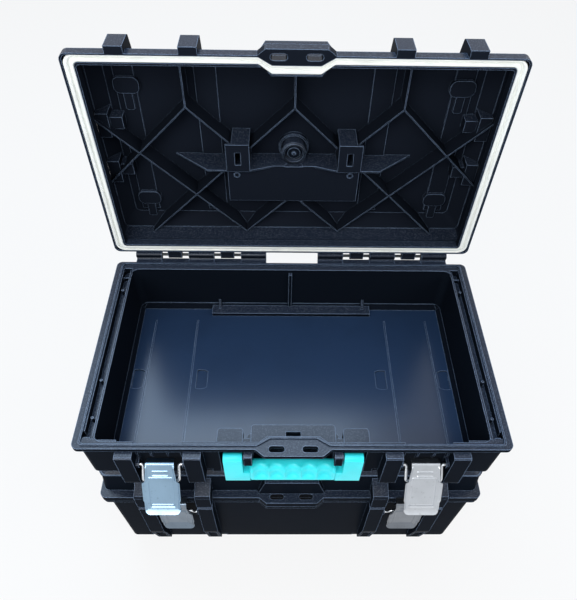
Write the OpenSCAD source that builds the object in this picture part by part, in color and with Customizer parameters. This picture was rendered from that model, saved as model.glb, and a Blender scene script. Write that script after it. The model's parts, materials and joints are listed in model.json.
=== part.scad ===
// Two stackable hard tool cases of one footprint: a shallow case with its lid
// standing open, on a deep case that is closed. X is across, -Y is the front.
// The origin is the middle of the deep case's base, which its pegs reach below.

/* [Case] */
// Width over the tub's lip
case_w = 550; // [500:5:600]
// Depth over the tub's lip
case_d = 316; // [290:2:340]
// Height of the shallow tub, from its pegs to its rim
upper_tub_h = 107; // [100:1:150]
// Height of the deep tub, from its pegs to its rim
lower_tub_h = 205; // [160:1:260]
// Height of a closed lid above the rim
lid_h = 70; // [66:1:84]
// How far the shallow case's lid stands open, in degrees
open_angle = 91; // [80:1:93]

/* [Shell] */
// Thickness of moulded walls
wall_t = 3; // [2.5:0.25:3.5]
// Thickness of the tub's front wall
front_t = 5; // [4.5:0.25:6]
// Thickness of the tub's floor
floor_t = 4; // [3.5:0.25:5]
// Height of the ribs under the floor
base_rib_h = 4; // [3:0.5:5]
// Height of the stacking pegs under a tub
peg_h = 7; // [5:0.5:8]
// Length of a stacking peg
peg_w = 27; // [20:1:32]
// Depth of a stacking peg from front to back
peg_d = 16; // [12:1:18]
// Distance of the pegs from the side edges
peg_in = 53; // [48:1:60]
// Draft of the tub's walls in degrees
draft = 1; // [0.5:0.25:1.5]
// Height of the knee where the tub's walls turn in to the base
knee_h = 20; // [16:1:24]
// How far the knee turns in
knee_in = 15; // [10:1:17]
// Distance from the lip's side edge to the inner side wall
side_in = 25; // [22:0.5:28]
// Distance from the lip's back edge to the inner back wall
back_in = 15; // [13:0.5:18]
// Depth of the tray rails below the rim
rail_z = 12; // [9:0.5:16]
// Thickness of a tray rail
rail_t = 3; // [2:0.25:4]

/* [Rim and seal] */
// Thickness of the tub's lip
tub_lip_t = 7; // [5:0.5:9]
// Thickness of the lid's lip
lid_lip_t = 13; // [11:0.5:15]
// How far the lid's lip stands past the tub's lip
lid_over = 1; // [0.5:0.25:1.5]
// How far the lips stand past the tub's front and back walls
lip_over = 5; // [3:0.5:6]
// How far the lips stand past the tub's side walls
lip_side = 5.5; // [4:0.5:7]
// Corner radius of the lips
lip_r = 8; // [6:0.5:12]
// Width of the tongue on the tub's rim
tongue_w = 2.5; // [1.5:0.25:3]
// Height of the tongue
tongue_h = 2.5; // [1.5:0.25:3]
// Clearance round the tongue in the seal's groove
tongue_gap = 0.8; // [0.5:0.1:1]
// Depth of the seal's channel in the lid
seal_t = 6; // [5:0.25:7]
// How far the seal's face lies inside the lid's rim
seal_gap = 0.3; // [0.2:0.1:0.6]

/* [Lid] */
// Height at which the lid's walls turn in
lid_knee_z = 50; // [47:0.5:54]
// Distance from the lip's front edge to the lid's front wall
lid_front_in = 10; // [9:0.5:11]
// Distance from the lip's side edge to the lid's side walls
lid_side_in = 4; // [3:0.5:6]
// How far the lid's front wall leans in up to its knee
lid_lean = 7; // [4:0.5:8]
// How far the bead above the lid's walls stands out
bead_out = 3; // [2:0.5:3.5]
// Pitch of the diamond lattice of ribs
rib_pitch = 72; // [64:1:78]
// Height at which the lattice's free edges lie
rib_z = 36; // [33:0.5:40]
// Thickness of the lattice's ribs
rib_t = 2; // [1.5:0.25:3]
// Half width of the plate pad in the lid
pad_x = 95; // [85:1:100]
// Radius of the pressure valve in the lid
vent_r = 18; // [15:0.5:20]

/* [Latches] */
// Distance of each latch from the side edge
latch_in = 106.5; // [101:0.5:112]
// Width of the bay that a latch stands in
bay_w = 63; // [60:0.5:66]
// Width of each pillar beside a bay
pillar_w = 22; // [18:0.5:26]
// How far the pillars stand out past the lip
pillar_out = 10; // [9.5:0.25:12]
// Width of a latch plate
plate_w = 54; // [52:0.5:54.5]
// Thickness of a latch plate
plate_t = 1.6; // [1.2:0.1:2]
// How far a closed latch plate reaches below the rim
plate_low = 61; // [58:0.5:66]
// Height of the plate's wide middle
ear_h = 32; // [26:0.5:36]
// Width of a latch plate's hook
hook_w = 35; // [30:0.5:37]
// Radius of the bail's wire
wire_r = 2; // [1.75:0.05:2.1]
// How far an open latch has swung from closed, in degrees
latch_swing = 133; // [120:1:138]
// How far an open latch plate leans out, in degrees
latch_tilt = 28; // [20:1:30]
// How far a latch at rest on the closed case stands back from its hold, in degrees
latch_free = 10.5; // [10:0.5:14]

/* [Handle] */
// Distance from the middle to the outside of the handle's arms
handle_x = 88; // [84:0.5:90]
// Width of a handle arm
arm_w = 24; // [20:0.5:25]
// How far the handle hangs below its pins
handle_drop = 55; // [50:0.5:57]
// Height of the handle's grip
grip_h = 32; // [28:0.5:34]
// Depth of the handle's grip
grip_d = 20; // [16:0.5:22]
// Number of finger hollows in the grip
fingers = 5; // [3:1:5]
// Radius of the handle's pins
handle_pin_r = 3; // [2.5:0.25:3.5]

/* [Hinges] */
// Distance from the middle to the inner end of each hinge
hinge_x = 41; // [38:0.5:50]
// Width of a knuckle of the tub
knuckle_w = 40; // [34:0.5:42]
// Width of a knuckle of the lid
lid_knuckle_w = 21; // [16:0.5:30]
// Pitch of the tub's knuckles
knuckle_pitch = 82.5; // [80:0.5:84]
// Radius of the hinge knuckles
knuckle_r = 5.5; // [5:0.25:6]
// Radius of the hinge pins
hinge_pin_r = 2.25; // [2:0.05:2.75]
// Distance of the hinge axis behind the lip
hinge_back = 12; // [11.5:0.25:14]
// Height of the hinge axis above the rim
hinge_up = 5.5; // [5.5:0.25:6.5]

/* [Stacking clips] */
// Width of a stacking clip
clip_w = 110; // [100:1:116]
// Height of the clip's axis above the base
clip_z = 30; // [28:0.5:34]
// Distance between a clip's two hooks
clip_hook_pitch = 76; // [70:1:80]
// Width of a clip's hook
clip_hook_w = 24; // [18:0.5:26]
// Radius of the clip's pin
clip_pin_r = 2; // [1.75:0.05:2.25]
// How far a clip at rest has swung up from its catch, in degrees
clip_up = 158; // [140:1:165]

/* [Padlock] */
// Distance between the two padlock slots
lock_pitch = 42; // [40:0.5:44]
// Length of a padlock slot
lock_l = 20; // [18:0.5:21]
// Width of a padlock slot
lock_w = 8.4; // [7.5:0.1:9]
// How far the padlock tab stands out past the lip
tab_out = 9; // [8:0.25:9.5]

/* [Hidden] */
$fn = 48;
run_gap = 0.05;                    // radial clearance of a pin that turns
eps = 0.01;

// Places. Each case is drawn about its own rim plane, z = 0.
front = -case_d / 2;               // front edge of the tub's lip
back = case_d / 2;
side = case_w / 2;
latch_x = side - latch_in;
peg_x = side - peg_in;
rim_z = lower_tub_h - peg_h;       // rim of the deep case above its base
stack_z = rim_z + lid_h;           // where the shallow case's base rests
upper_rim_z = stack_z + upper_tub_h - peg_h;
hinge_y = back + hinge_back;
wall_x = side - lip_side;          // outside of the tub's side walls
wall_y = front + lip_over;         // outside of the tub's front wall
inner_x = side - side_in;
inner_y = wall_y + front_t;
ledge_y = front + 13;              // inner edge of the corner ledges
seal_x = side - 2;                 // outer edge of the seal
seal_w = 12.5;                     // its width along the sides
seal_y = front + 1;
seal_front_w = 9;                  // its width along the front
seal_back_w = 11;
jog_x = 47;                        // where the seal turns in round the padlock slots
jog_top = 29;                      // half width of the turned-in stretch
jog_y = 10;                        // how far it turns in
lock_y = front + 0.5;              // middle of the padlock slots
tongue_x = side - 8.5;
tongue_y = front + 4;
tongue_back = back - 3.5;
pillar_z = 105;                    // below this a pillar runs back into the wall
pillar_lid_z = 35;
knee_step = 0.5;                   // the step at the top of the knee
notch_w = 8.5;
notch_h = 9;
peg_front_y = -87;
peg_back_y = 100;
peg_gap = 0.4;

// The latch, in the closed case: y and z of the plate's middle, the pivot on the
// bail and the pivot in the pillars.
plate_y = front - pillar_out + 1;
pivot_y = plate_y + plate_t / 2 + wire_r + 1;
pivot_z = -14;
root_y = front - 2.8;
root_z = -36.3;
curl_r = wire_r + 1.6;
hook_z = lid_lip_t + 1.4;          // underside of the hook
hook_reach = 2.5;                  // how far the hook goes over the lid's lip
arm_x = plate_w / 2 - 1.5 - wire_r - 0.7;
bend_r = 3;                        // of the wire's middle line
foot_w = plate_w - 7;              // width of the plate below its ears
wire_end = bay_w / 2 + 3.6;
lug_t = (bay_w - plate_w) / 2 - 0.5; // of the lugs that the wire's ends turn in

handle_y = front - 3;              // the handle's axis
handle_z = -17;
hub_r = 6.5;
lug_w = 10;
lug_x = handle_x - arm_w - 2 - lug_w;
pocket_x = handle_x + 6;           // outside of the pockets behind the handle's arms
pocket_w = 27;                     // the lugs stand in front of what is left between
pocket_y = front + 30;
pocket_mid_x = lug_x - 1;          // half width of the middle pocket between the lugs
pocket_mid_y = front + 35;
lug_low = -34;
grip_x = lug_x + 3.5;              // half width of the grip
pocket_low = -78;
pocket_top = -11;

clip_y = 57;                       // half width of the clips' recesses
clip_x = side - 11;                // the clips' axis
clip_t = 4;
clip_barrel_r = 4;
clip_reach = clip_z + 20;          // from the axis down to the end of a hook
catch_z = lid_h - 10;              // middle of the ledge that a hook holds
recess_x = side - 20;
fold_z = clip_reach + 3;

function turn(v, a) = [v[0] * cos(a) - v[1] * sin(a), v[0] * sin(a) + v[1] * cos(a)];
function latch_pivot(swing) =
    [root_y, root_z] + turn([pivot_y - root_y, pivot_z - root_z], swing);

// A block given by its low and high edges along each axis
module box(x, y, z) {
    translate([x[0], y[0], z[0]]) cube([x[1] - x[0], y[1] - y[0], z[1] - z[0]]);
}

// A rounded rectangle given by its edges
module rrect(x, y, r) {
    translate([x[0] + r, y[0]]) square([x[1] - x[0] - 2 * r, y[1] - y[0]]);
    translate([x[0], y[0] + r]) square([x[1] - x[0], y[1] - y[0] - 2 * r]);
    for (cx = [x[0] + r, x[1] - r], cy = [y[0] + r, y[1] - r])
        translate([cx, cy]) circle(r);
}

module slab(x, y, z, r) {
    translate([0, 0, z[0]]) linear_extrude(z[1] - z[0]) rrect(x, y, r);
}

// A block whose outline at z_wide is drawn in until z_narrow
module tapered(x, y, z_wide, z_narrow, r, draw_in, more_in_front = 0) {
    w = x[1] - x[0];
    d = y[1] - y[0];
    drawn = 2 * draw_in + more_in_front;
    before = d * (draw_in + more_in_front) / drawn;
    translate([(x[0] + x[1]) / 2, y[0] + before, z_wide])
        mirror([0, 0, z_wide > z_narrow ? 1 : 0])
            linear_extrude(abs(z_wide - z_narrow), slices = 1,
                scale = [1 - 2 * draw_in / w, 1 - drawn / d])
                rrect([-w / 2, w / 2], [-before, d - before], r, $fn = 32);
}

// Extrudes a profile drawn in Y and Z along X
module along_x(x) {
    translate([x[0], 0, 0]) rotate([90, 0, 90]) linear_extrude(x[1] - x[0]) children();
}

// Extrudes a profile drawn in X and Z along Y, from low to high
module along_y(y) {
    translate([0, y[1], 0]) rotate([90, 0, 0]) linear_extrude(y[1] - y[0]) children();
}

module rod_x(x, y, z, r) {
    translate([x[0], y, z]) rotate([0, 90, 0]) cylinder(h = x[1] - x[0], r = r);
}

module rod_y(x, y, z, r) {
    translate([x, y[1], z]) rotate([90, 0, 0]) cylinder(h = y[1] - y[0], r = r);
}

module both_sides() {
    children();
    mirror([1, 0, 0]) children();
}

module mirrored(left) {
    mirror([left ? 1 : 0, 0, 0]) children();
}

// The outline of the seal's or the tongue's edge, turned in round the padlock slots
module rim_line(x, y, r, turned) {
    difference() {
        rrect([-x, x], y, r);
        polygon([
            [-jog_x, y[0] - 1], [-jog_top, y[0] + turned],
            [jog_top, y[0] + turned], [jog_x, y[0] - 1]
        ]);
    }
}

module tongue_ring(gap) {
    difference() {
        rim_line(tongue_x + gap, [tongue_y - gap, tongue_back + gap], 5, jog_y);
        rim_line(tongue_x - tongue_w - gap,
            [tongue_y + tongue_w + gap, tongue_back - tongue_w - gap], 4, jog_y);
    }
}

module seal_ring(gap) {
    difference() {
        rim_line(seal_x + gap, [seal_y - gap, back - 1 + gap], 7, jog_y);
        rim_line(seal_x - seal_w - gap,
            [seal_y + seal_front_w + gap, back - seal_back_w - gap], 5, jog_y + 2);
    }
}

// The tab with the padlock slots, seen from above
module tab_outline() {
    polygon([
        [-50, front + 2], [-38, front - tab_out + 1], [-36, front - tab_out],
        [36, front - tab_out], [38, front - tab_out + 1], [50, front + 2]
    ]);
}

module lock_slots(z) {
    for (s = [-1, 1])
        translate([s * lock_pitch / 2, lock_y, z[0]]) linear_extrude(z[1] - z[0])
            rrect([-lock_l / 2, lock_l / 2], [-lock_w / 2, lock_w / 2], lock_w / 2 - eps);
}

// The ends of each knuckle, as [low, high]
function tub_knuckle(i) = [hinge_x + i * knuckle_pitch, hinge_x + i * knuckle_pitch + knuckle_w];
function lid_knuckle(i) =
    let (mid = hinge_x + (i + 0.5) * knuckle_pitch + knuckle_w / 2)
        [mid - lid_knuckle_w / 2, mid + lid_knuckle_w / 2];

// ---- The tub -------------------------------------------------------------

module tub_outside(base, knee) {
    slab([-side, side], [front, back], [-tub_lip_t, 0], lip_r);
    inset = (knee + tub_lip_t) * -tan(draft);
    low = inset + knee_step;
    tapered([-wall_x, wall_x], [wall_y, back - lip_over], -tub_lip_t, knee, lip_r + 1, inset);
    tapered([-wall_x + low, wall_x - low], [wall_y + low, back - lip_over - low],
        knee + knee_step, base, lip_r, knee_in);
    translate([0, 0, -tub_lip_t]) linear_extrude(tub_lip_t) tab_outline();
}

module tub_cavity(floor_z, knee) {
    inset = (knee + tub_lip_t) * -tan(draft);
    x1 = inner_x - inset - knee_step;
    y0 = inner_y + inset + knee_step;
    y1 = back - back_in - inset - knee_step;
    // how far the walls turn in for each millimetre down, below the knee
    turn = 4 / (knee - 1.5 - floor_z);
    front_turn = 9 / (knee - 1.5 - floor_z);
    tapered([-inner_x, inner_x], [inner_y, back - back_in], 1, knee, 12, inset);
    intersection() {
        slab([-x1, x1], [y0, y1], [floor_z, knee], 11);
        along_y([inner_y, back]) polygon([
            [-x1 - 3 * turn, knee + 1.5], [-x1 + 4 + turn, floor_z - 1],
            [x1 - 4 - turn, floor_z - 1], [x1 + 3 * turn, knee + 1.5]
        ]);
        along_x([-side, side]) polygon([
            [y0 - 3 * front_turn, knee + 1.5], [y0 + 9 + front_turn, floor_z - 1],
            [y1 - 4 - turn, floor_z - 1], [y1 + 3 * turn, knee + 1.5]
        ]);
    }
    both_sides() {
        // the channel beside a tray's rail
        box([inner_x + rail_t, side - 13], [front + 16, back - 14], [-rail_z, 1]);
        box([inner_x - 1, inner_x + rail_t + 0.5], [front + 14, back - 14], [-4, 1]);
        // notch in the rim at the front end of the channel
        box([side - 13.5, side - 8], [front + 15, front + 24], [-rail_z, 4]);
        // the rim is thin where a latch stands
        box([latch_x - bay_w / 2 + 3, latch_x + bay_w / 2], [front + 7, ledge_y], [-rail_z, 1]);
    }
}

// Walls that the handle's pockets have inside the tub
module handle_housing() {
    both_sides() {
        slab([pocket_x - pocket_w - wall_t, pocket_x + wall_t], [wall_y + 0.5, pocket_y + wall_t],
            [pocket_low - wall_t, -8], 4);
        box([pocket_mid_x, pocket_x - pocket_w], [inner_y - 1, front + 20], [-14, -10]);
    }
    slab([-pocket_mid_x - wall_t, pocket_mid_x + wall_t], [wall_y + 0.5, pocket_mid_y + wall_t],
        [pocket_low - wall_t, -8], 4);
    slab([-grip_x - 2 - wall_t, grip_x + 2 + wall_t], [wall_y + 0.5, pocket_mid_y + wall_t],
        [pocket_low - wall_t, lug_low + 1], 4);
}

// Stepped ledges inside the rim at the corners, and one behind the padlock tab
module rim_ledges() {
    both_sides() {
        box([side - 54, side - 8], [inner_y - 1, ledge_y], [-5, -1]);
        box([side - 68, side - 53], [inner_y - 1, ledge_y - 1.5], [-7, -3]);
        box([99, latch_x - bay_w / 2 + 4], [inner_y - 4, inner_y + 1.5], [-9, -5]);
    }
    translate([0, 0, -8]) linear_extrude(8) polygon([
        [-52, front + 3], [-jog_top - 4, front + 18], [jog_top + 4, front + 18], [52, front + 3]
    ]);
}

// Pegs and cross ribs in the channels, step and gussets at the back of the floor
module tub_details(floor_z, base) {
    step_y = back - back_in - 20;
    both_sides() {
        for (y = [front + 44, front + 100, back - 57])
            translate([(inner_x + rail_t + side - 13) / 2, y, -rail_z - 1]) cylinder(h = rail_z - 1, r = 2);
        box([inner_x + 1, side - 12], [back - 30, back - 28], [-rail_z - 1, -5]);
        along_x([117, 120])
            polygon([[back - back_in + 1, floor_z + 4], [step_y + 8, floor_z + 4],
                [back - back_in + 1, floor_z + 24]]);
    }
    box([-131, 131], [step_y, back - back_in + 2], [base + 3, floor_z + 7]);
    box([-5, 0], [back - back_in - 5, back - back_in + 1], [floor_z + 4, -tub_lip_t]);
}

module pillar_profile(knee) {
    straight = max(knee + 4, -pillar_z);
    polygon([
        [wall_y + 2, -tub_lip_t], [front - pillar_out + 1.5, -tub_lip_t],
        [front - pillar_out, -tub_lip_t - 1.5], [front - pillar_out, straight],
        [front - pillar_out + (straight - knee) * 0.2, knee - 1], [wall_y + 3, knee - 1]
    ]);
}

module tub_pillars(knee) {
    both_sides() for (s = [-1, 1]) {
        x0 = latch_x + s * (bay_w + pillar_w) / 2;
        difference() {
            along_x([x0 - pillar_w / 2, x0 + pillar_w / 2]) pillar_profile(knee);
            // a pillar is hollow from below
            box([x0 - pillar_w / 2 + 4, x0 + pillar_w / 2 - 4],
                [front - pillar_out + wall_t, wall_y - 1], [knee - 5, -18]);
        }
    }
}

// Band, stiffening ribs and the lugs round the wire's ends in the latch bays
module bay_ribs() {
    both_sides() {
        box([latch_x - bay_w / 2 - 1, latch_x + bay_w / 2 + 1], [front + 2, wall_y + 2],
            [-tub_lip_t - 6, -tub_lip_t + 1]);
        for (dx = [-28, -10.5, 10.5, 28])
            along_x([latch_x + dx - 1.25, latch_x + dx + 1.25])
                polygon([[wall_y + 2, -tub_lip_t], [front + 2, -tub_lip_t],
                    [front + 2, -22], [wall_y + 2, -40]]);
        translate([latch_x, 0, 0]) both_sides() along_x([bay_w / 2 - lug_t, bay_w / 2 + 1])
            polygon([[root_y - 1.5, root_z + 5], [root_y - 4, root_z + 2.5], [root_y - 4, root_z - 3],
                [wall_y + 2, root_z - 9], [wall_y + 2, root_z + 5]]);
    }
}

module bay_notches(knee) {
    both_sides() for (s = [-1, 1]) {
        x0 = latch_x + s * (bay_w / 2 + pillar_w + notch_w / 2);
        box([x0 - notch_w / 2, x0 + notch_w / 2], [front - 1, wall_y + 3.5], [knee - 4, knee + notch_h]);
    }
}

module handle_pockets() {
    both_sides()
        box([pocket_x - pocket_w, pocket_x], [front - 2, pocket_y], [pocket_low, pocket_top]);
    box([-pocket_mid_x, pocket_mid_x], [front - 2, pocket_mid_y], [pocket_low, pocket_top]);
    box([-grip_x - 2, grip_x + 2], [front - 2, pocket_mid_y], [pocket_low, lug_low - 2]);
    box([-pocket_mid_x + 12, pocket_mid_x - 12], [front - 2, front + 8], [pocket_top - 1, -8.5]);
    // slot in the top of the middle pocket
    box([-9.5, 9.5], [front + 19, front + 28], [pocket_top - 1, -7]);
}

module handle_lugs() {
    both_sides() along_x([lug_x, lug_x + lug_w]) difference() {
        polygon([[wall_y + 2, -tub_lip_t - 1], [handle_y - 4, -tub_lip_t - 1],
            [handle_y - 5, -tub_lip_t - 2], [handle_y - 5, lug_low + 4], [handle_y - 2, lug_low],
            [wall_y + 2, lug_low]]);
        translate([handle_y, handle_z]) circle(handle_pin_r);
    }
}

module hinge_bores(r) {
    both_sides() rod_x([hinge_x - 5, tub_knuckle(2)[1] + 5], hinge_y, hinge_up, r);
}

module tub_knuckles() {
    both_sides() for (i = [0 : 2]) along_x(tub_knuckle(i)) {
        translate([hinge_y, hinge_up]) circle(knuckle_r);
        polygon([[back - 4, -tub_lip_t], [back - 4, -0.6], [hinge_y - 5, -0.6],
            [hinge_y, hinge_up], [hinge_y + 4, 2], [hinge_y - 1, -tub_lip_t]]);
    }
    // shelf that joins the knuckles
    both_sides() box([hinge_x, tub_knuckle(2)[1]], [back - 4, hinge_y - 2], [-tub_lip_t, -1.2]);
}

// Recesses in the tub's sides that the stacking clips fold into
module clip_recesses(base) {
    both_sides()
        box([recess_x, side + 1], [-clip_y, clip_y],
            [base - 1, min(base + clip_z + fold_z, -tub_lip_t - 1)]);
}

module side_hollows(knee) {
    both_sides()
        box([inner_x + wall_t, wall_x - wall_t - 1.5], [front + 24, back - 24], [knee, -rail_z - wall_t]);
}

module clip_pin_bores(base) {
    both_sides() rod_y(clip_x, [-clip_y - 6, clip_y + 6], base + clip_z, clip_pin_r);
}

module pegs(base) {
    for (x = [-peg_x, peg_x], y = [peg_front_y, peg_back_y])
        slab([x - peg_w / 2, x + peg_w / 2], [y - peg_d / 2, y + peg_d / 2], [base - peg_h, base + 1], 4);
}

// Pockets under the floor that leave a grid of ribs
module base_pockets(base) {
    pitch_x = 66;
    pitch_y = 60;
    for (i = [-3 : 2], j = [-2 : 1])
        box([i * pitch_x + 1.5, (i + 1) * pitch_x - 1.5], [j * pitch_y + 1.5, (j + 1) * pitch_y - 1.5],
            [base - 1, base + base_rib_h]);
}

module floor_marks(floor_z) {
    both_sides() {
        for (x = [139, 236])
            translate([x, 0, floor_z - 2.5]) linear_extrude(4) difference() {
                circle(17);
                translate([6.5, -18]) square([12, 36]);
                translate([-24, -18]) square([14, 36]);
            }
        box([153, 155], [front + 45, back - 45], [floor_z - 0.8, floor_z + 1]);
        box([221, 223], [front + 45, back - 45], [floor_z - 0.8, floor_z + 1]);
    }
}

module tub(h, has_handle) {
    base = -(h - peg_h);
    knee = base + knee_h;
    floor_z = base + base_rib_h + floor_t;
    color("#2c3034") difference() {
        union() {
            difference() {
                tub_outside(base, knee);
                tub_cavity(floor_z, knee);
            }
            rim_ledges();
            if (has_handle) handle_housing();
            tub_details(floor_z, base);
            tub_pillars(knee);
            bay_ribs();
            tub_knuckles();
            pegs(base);
            linear_extrude(tongue_h) tongue_ring(0);
        }
        if (has_handle) handle_pockets();
        bay_notches(knee);
        base_pockets(base);
        floor_marks(floor_z);
        side_hollows(knee);
        clip_recesses(base);
        clip_pin_bores(base);
        hinge_bores(hinge_pin_r);
        lock_slots([-20, 1]);
        both_sides()
            rod_x([latch_x - wire_end - 1, latch_x + wire_end + 1], root_y, root_z, wire_r + run_gap);
    }
    if (has_handle) color("#2c3034") handle_lugs();
}

// ---- The lid, drawn closed --------------------------------------------------

lid_wall_x = side - lid_side_in;
lid_wall_y = front + lid_front_in;
lid_knee_y = lid_wall_y + lid_lean;
lid_back_y = back - 5;
lid_turn = lid_h - lid_knee_z;     // the knee of the lid is at 45 degrees

module lid_outside() {
    linear_extrude(lid_lip_t) {
        rrect([-side - lid_over, side + lid_over], [front - lid_over, back + lid_over], lip_r + lid_over);
        tab_outline();
    }
    tapered([-lid_wall_x - 1, lid_wall_x + 1], [lid_wall_y, lid_back_y + 1],
        lid_lip_t - 1, lid_knee_z, 10, 1, lid_lean - 1);
    slab([-lid_wall_x - bead_out, lid_wall_x + bead_out], [lid_knee_y - 0.6, lid_back_y + 0.6],
        [lid_knee_z - 6, lid_knee_z - 1], 12);
    tapered([-lid_wall_x + knee_step, lid_wall_x - knee_step],
        [lid_knee_y + knee_step, lid_back_y - knee_step], lid_knee_z, lid_h, 10, lid_turn - knee_step);
    // block that carries the padlock tab
    along_y([lock_y + lock_w / 2 + 0.5, lid_knee_y + 1])
        polygon([[-49, lid_lip_t - 1], [49, lid_lip_t - 1], [38, lid_knee_z + 1], [-38, lid_knee_z + 1]]);
}

// The lid's inner space, made larger all round by grow
module lid_cavity(grow) {
    t = wall_t - grow;
    x = lid_wall_x - t;
    y = [lid_knee_y + t, lid_back_y - t];
    tapered([-x - 1, x + 1], [y[0] - lid_lean, y[1] + 1], lid_lip_t - grow, lid_knee_z - 1, 8, 1,
        lid_lean - 1);
    tapered([-x + knee_step, x - knee_step], [y[0] + knee_step, y[1] - knee_step],
        lid_knee_z - 1 - knee_step, lid_h - t - 1, 8, lid_turn - 1 - knee_step);
}

module lid_mouth() {
    difference() {
        slab([-seal_x + seal_w + 2.5, seal_x - seal_w - 2.5],
            [lid_wall_y + wall_t, back - seal_back_w - 2.5], [-1, lid_lip_t + eps], 4);
        translate([0, 0, -2]) linear_extrude(lid_lip_t + 4) polygon([
            [-jog_x - 2, front], [-jog_top - 1, front + 24], [jog_top + 1, front + 24], [jog_x + 2, front]
        ]);
    }
}

module lid_pillars() {
    both_sides() for (s = [-1, 1]) {
        x0 = latch_x + s * (bay_w + pillar_w) / 2;
        along_x([x0 - pillar_w / 2, x0 + pillar_w / 2]) polygon([
            [lid_wall_y + 1, 0], [front - pillar_out, 0], [front - pillar_out, pillar_lid_z - 5],
            [front - pillar_out + 2.5, pillar_lid_z], [lid_knee_y + 1, pillar_lid_z + 9]
        ]);
    }
}

module lid_knuckles() {
    both_sides() for (i = [0 : 1]) along_x(lid_knuckle(i)) {
        translate([hinge_y, hinge_up]) circle(knuckle_r);
        polygon([[back - 3, 0.6], [hinge_y, hinge_up - knuckle_r + 0.4],
            [hinge_y, hinge_up + knuckle_r - 0.2], [back - 3, lid_lip_t - 0.5]]);
    }
}

// One straight rib of the lattice between two points given in lattice steps
module rib(a, b) {
    p = [a[0] * rib_pitch, back - 12 - a[1] * rib_pitch];
    q = [b[0] * rib_pitch, back - 12 - b[1] * rib_pitch];
    v = q - p;
    translate([p[0], p[1], rib_z]) rotate([0, 0, atan2(v[1], v[0])])
        translate([0, -rib_t / 2, 0]) cube([norm(v), rib_t, lid_h - rib_z]);
}

module lid_lattice() {
    intersection() {
        union() {
            both_sides() {
                rib([2, 3], [2, 4.3]);
                rib([2, 3], [4, 1]);
                rib([2, 3], [1.25, 2.25]);
                rib([4, 3], [1, 0]);
                rib([1.4, 1.6], [3.2, -0.2]);
                rib([1, 0], [0.1, 0.9]);
                rib([0, 3], [0.85, 2.15]);
            }
            rib([0, 3], [0, 4.3]);
        }
        lid_cavity(1);
    }
}

shelf_y = back - 12 - 1.72 * rib_pitch;   // the shelf across the lid
bracket_x = 78.5;
bracket_w = 33;

// Shelf with the two slotted brackets, the plate pad and the valve's seat
module lid_fittings() {
    along_y([shelf_y - 1.25, shelf_y + 1.25]) difference() {
        polygon([[-171, lid_h - 4], [-122, 25], [-62, 25], [-30, rib_z], [30, rib_z], [62, 25],
            [122, 25], [171, lid_h - 4]]);
        translate([0, rib_z - 2]) circle(13);
    }
    both_sides() {
        difference() {
            box([bracket_x - bracket_w / 2, bracket_x + bracket_w / 2], [shelf_y - 43, shelf_y], [25, 28]);
            box([bracket_x - 4, bracket_x + 4], [shelf_y - 30, shelf_y - 10], [24, 29]);
        }
        for (x = [bracket_x - bracket_w / 2, bracket_x + 6])
            box([x, x + 2.5], [shelf_y - 43, shelf_y], [27, lid_h - 2]);
        box([bracket_x - bracket_w / 2, bracket_x + 8], [shelf_y - 43, shelf_y - 40.5], [27, lid_h - 2]);
        // wide bands that stiffen the panel
        for (x = [[103, 132], [210, 237]])
            box(x, [front + 36, back - 34], [lid_h - wall_t - 3, lid_h - 2]);
    }
    // the valve's seat, with a bead round it
    translate([0, shelf_y - 17, lid_h - 10]) cylinder(h = 8, r = vent_r + 3.5);
    translate([0, shelf_y - 17, lid_h - 12]) cylinder(h = 8, r = vent_r + 1.8);
}

// Walls inside the lid round what is sunk into its top: the plate pad, the sockets
// for the pegs above, and the catches of the stacking clips
module lid_bosses() {
    box([-pad_x, pad_x], [shelf_y, shelf_y + 62], [rib_z, lid_h - 1]);
    for (x = [-peg_x, peg_x], y = [peg_front_y, peg_back_y]) {
        slab([x - peg_w / 2 - 3.5, x + peg_w / 2 + 3.5], [y - peg_d / 2 - 3.5, y + peg_d / 2 + 3.5],
            [lid_h - peg_h - wall_t - 0.5, lid_h - 1], 9);
        slab([x - 6, x + 6], [y - 2, y + 36], [lid_h - peg_h - wall_t + 0.5, lid_h - 1], 3);
    }
    // rings on the pad, where the mould's pins stand
    for (x = [-pad_x + 13, pad_x - 13])
        translate([x, shelf_y + 15, rib_z - 0.7]) difference() {
            cylinder(h = 2, r = 4.5);
            translate([0, 0, -1]) cylinder(h = 1.7, r = 3.3);
        }
    both_sides() for (s = [-1, 1])
        box([recess_x - wall_t - 2, lid_wall_x - 4],
            [s * clip_hook_pitch / 2 - clip_hook_w / 2 - 6, s * clip_hook_pitch / 2 + clip_hook_w / 2 + 6],
            [lid_knee_z - 9, lid_h - wall_t]);
    both_sides() for (s = [-1, 1])
        box([recess_x - 22, recess_x - wall_t],
            [s * clip_hook_pitch / 2 - 9, s * clip_hook_pitch / 2 + 9], [lid_knee_z - 2, lid_h - 2]);
}

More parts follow.
